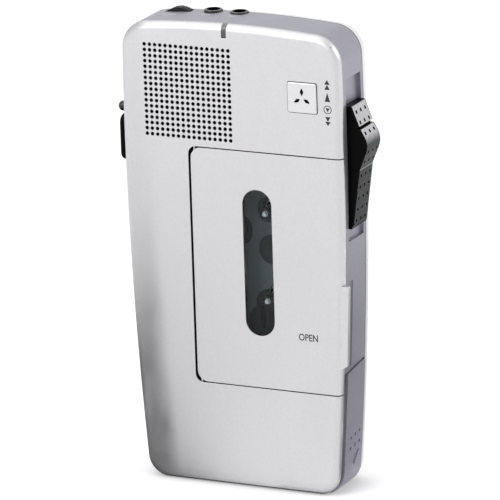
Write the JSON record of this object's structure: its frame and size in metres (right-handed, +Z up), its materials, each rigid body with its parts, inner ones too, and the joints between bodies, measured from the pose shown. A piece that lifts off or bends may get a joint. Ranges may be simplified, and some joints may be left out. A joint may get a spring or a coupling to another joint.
{
  "type": "pocket dictation recorder",
  "caption": "Slim standing cassette dictation recorder with an opening cassette door, a smoked window, a speaker grille and an edge slide switch.",
  "frame": {"origin": "middle of the casing's flat bottom face", "axes": "+X towards the user's right, +Y from the front face to the back, +Z up along the casing"},
  "size_m": [0.0711, 0.02, 0.1254],
  "materials": {
    "silver_shell": "satin silver lacquer",
    "band_grey": "satin metallic grey",
    "rear_silver": "satin silver lacquer",
    "smoked_window": "clear smoked plastic",
    "lamp_lens": "dark translucent plastic",
    "black_gloss": "glossy",
    "black_plastic": "fine grain",
    "graphite_pad": "satin, silver fading to graphite",
    "silver_pad": "satin silver",
    "grey_plastic": "moulded",
    "white_plastic": "moulded",
    "steel": "bare",
    "brass": "bare",
    "spring_nickel": "nickel plated",
    "rubber": "matte",
    "cloth": "woven",
    "paper_cone": "pressed paper",
    "ferrite": "sintered",
    "board_green": "solder resist",
    "cell_jacket": "printed jacket"
  },
  "bodies": {
    "casing": {"front_shell": "silver_shell", "side_frame": "band_grey", "switch_side_band": "band_grey", "rear_shell": "rear_silver", "case_screws": "steel", "speaker_basket": "steel", "speaker_cone": "paper_cone", "speaker_magnet": "ferrite", "speaker_cloth": "cloth", "microphone_tile": "silver_shell", "microphone_capsule": "steel", "microphone_boot": "rubber", "light_guide": "lamp_lens", "led": "lamp_lens", "door_catch": "spring_nickel", "deck_plate": "steel", "cassette_well": "black_plastic", "spindle_bushes": "brass", "drive_axle": "steel", "drive_belt": "rubber", "motor": "steel", "motor_screws": "steel", "head_slide_screws": "steel", "selector_switch": "grey_plastic", "battery_tray": "black_plastic", "battery_cells": "cell_jacket", "positive_contact": "spring_nickel", "negative_contact": "spring_nickel", "key_switches": "black_plastic", "button_board": "board_green", "volume_potentiometer": "grey_plastic", "ear_socket": "black_gloss", "microphone_socket": "black_gloss", "circuit_board": "board_green", "board_components": "black_plastic"},
    "door": {"cassette_door": "silver_shell", "door_window": "smoked_window", "door_hinge_pins": "steel"},
    "switch": {"switch_carrier": "black_plastic", "switch_upper_pad": "silver_pad", "switch_lower_pad": "graphite_pad", "switch_slide_plate": "black_plastic"},
    "battery_cover": {"battery_door": "band_grey", "battery_bridge": "spring_nickel"},
    "record_key": {"record_button": "black_gloss"},
    "index_key": {"index_button": "black_gloss"},
    "volume": {"volume_wheel": "black_plastic"},
    "rotor": {"motor_shaft": "steel", "motor_pulley": "brass"},
    "drive": {"drive_wheel": "white_plastic"},
    "arm": {"swing_arm": "steel"},
    "idler": {"idler_wheel": "white_plastic", "idler_tyre": "rubber"},
    "supply": {"supply_reel_table": "steel", "supply_hub": "black_plastic"},
    "takeup": {"takeup_reel_table": "steel", "takeup_hub": "black_plastic"},
    "heads": {"head_slide": "steel", "play_head": "spring_nickel", "erase_head": "spring_nickel"}
  },
  "joints": [
    {"name": "door_hinge", "type": "hinge", "parent": "casing", "child": "door", "pos_m": [-0.01095, -0.009, 0.06195], "axis": [0, 0, -1], "range_deg": [0, 85]},
    {"name": "switch_slide", "type": "slide", "parent": "casing", "child": "switch", "axis": [0, 0, 1], "range_m": [-0.0033, 0.0066]},
    {"name": "battery_door_slide", "type": "slide", "parent": "casing", "child": "battery_cover", "axis": [0, 0, -1], "range_m": [0, 0.036]},
    {"name": "record_press", "type": "slide", "parent": "casing", "child": "record_key", "axis": [1, 0, 0], "range_m": [0, 0.0007], "stiffness_N_per_m": 600},
    {"name": "index_press", "type": "slide", "parent": "casing", "child": "index_key", "axis": [1, 0, 0], "range_m": [0, 0.0007], "stiffness_N_per_m": 600},
    {"name": "volume_turn", "type": "hinge", "parent": "casing", "child": "volume", "pos_m": [-0.0195, 0.0032, 0.1199], "axis": [0, 1, 0], "range_deg": [-135, 135]},
    {"name": "motor_spin", "type": "hinge", "parent": "casing", "child": "rotor", "pos_m": [0.015, 0.0053, 0.104], "axis": [0, 1, 0], "continuous": true},
    {"name": "drive_spin", "type": "hinge", "parent": "casing", "child": "drive", "pos_m": [-0.0075, 0.0053, 0.06195], "axis": [0, 1, 0], "continuous": true},
    {"name": "arm_swing", "type": "hinge", "parent": "casing", "child": "arm", "pos_m": [-0.0075, 0.0043, 0.06195], "axis": [0, 1, 0], "range_deg": [-14, 14]},
    {"name": "idler_spin", "type": "hinge", "parent": "arm", "child": "idler", "pos_m": [-0.0004, 0.0032, 0.06195], "axis": [0, 1, 0], "continuous": true},
    {"name": "supply_spin", "type": "hinge", "parent": "casing", "child": "supply", "pos_m": [0.00675, 0.0002, 0.0738], "axis": [0, 1, 0], "continuous": true},
    {"name": "takeup_spin", "type": "hinge", "parent": "casing", "child": "takeup", "pos_m": [0.00675, 0.0002, 0.0501], "axis": [0, 1, 0], "continuous": true},
    {"name": "head_travel", "type": "slide", "parent": "casing", "child": "heads", "axis": [-1, 0, 0], "range_m": [0, 0.0022], "stiffness_N_per_m": 100, "springref_m": -0.002}
  ],
  "couplings": [
    {"joint": "motor_spin", "follows": "drive_spin", "ratio": 3.8421},
    {"joint": "idler_spin", "follows": "drive_spin", "ratio": -0.75}
  ]
}
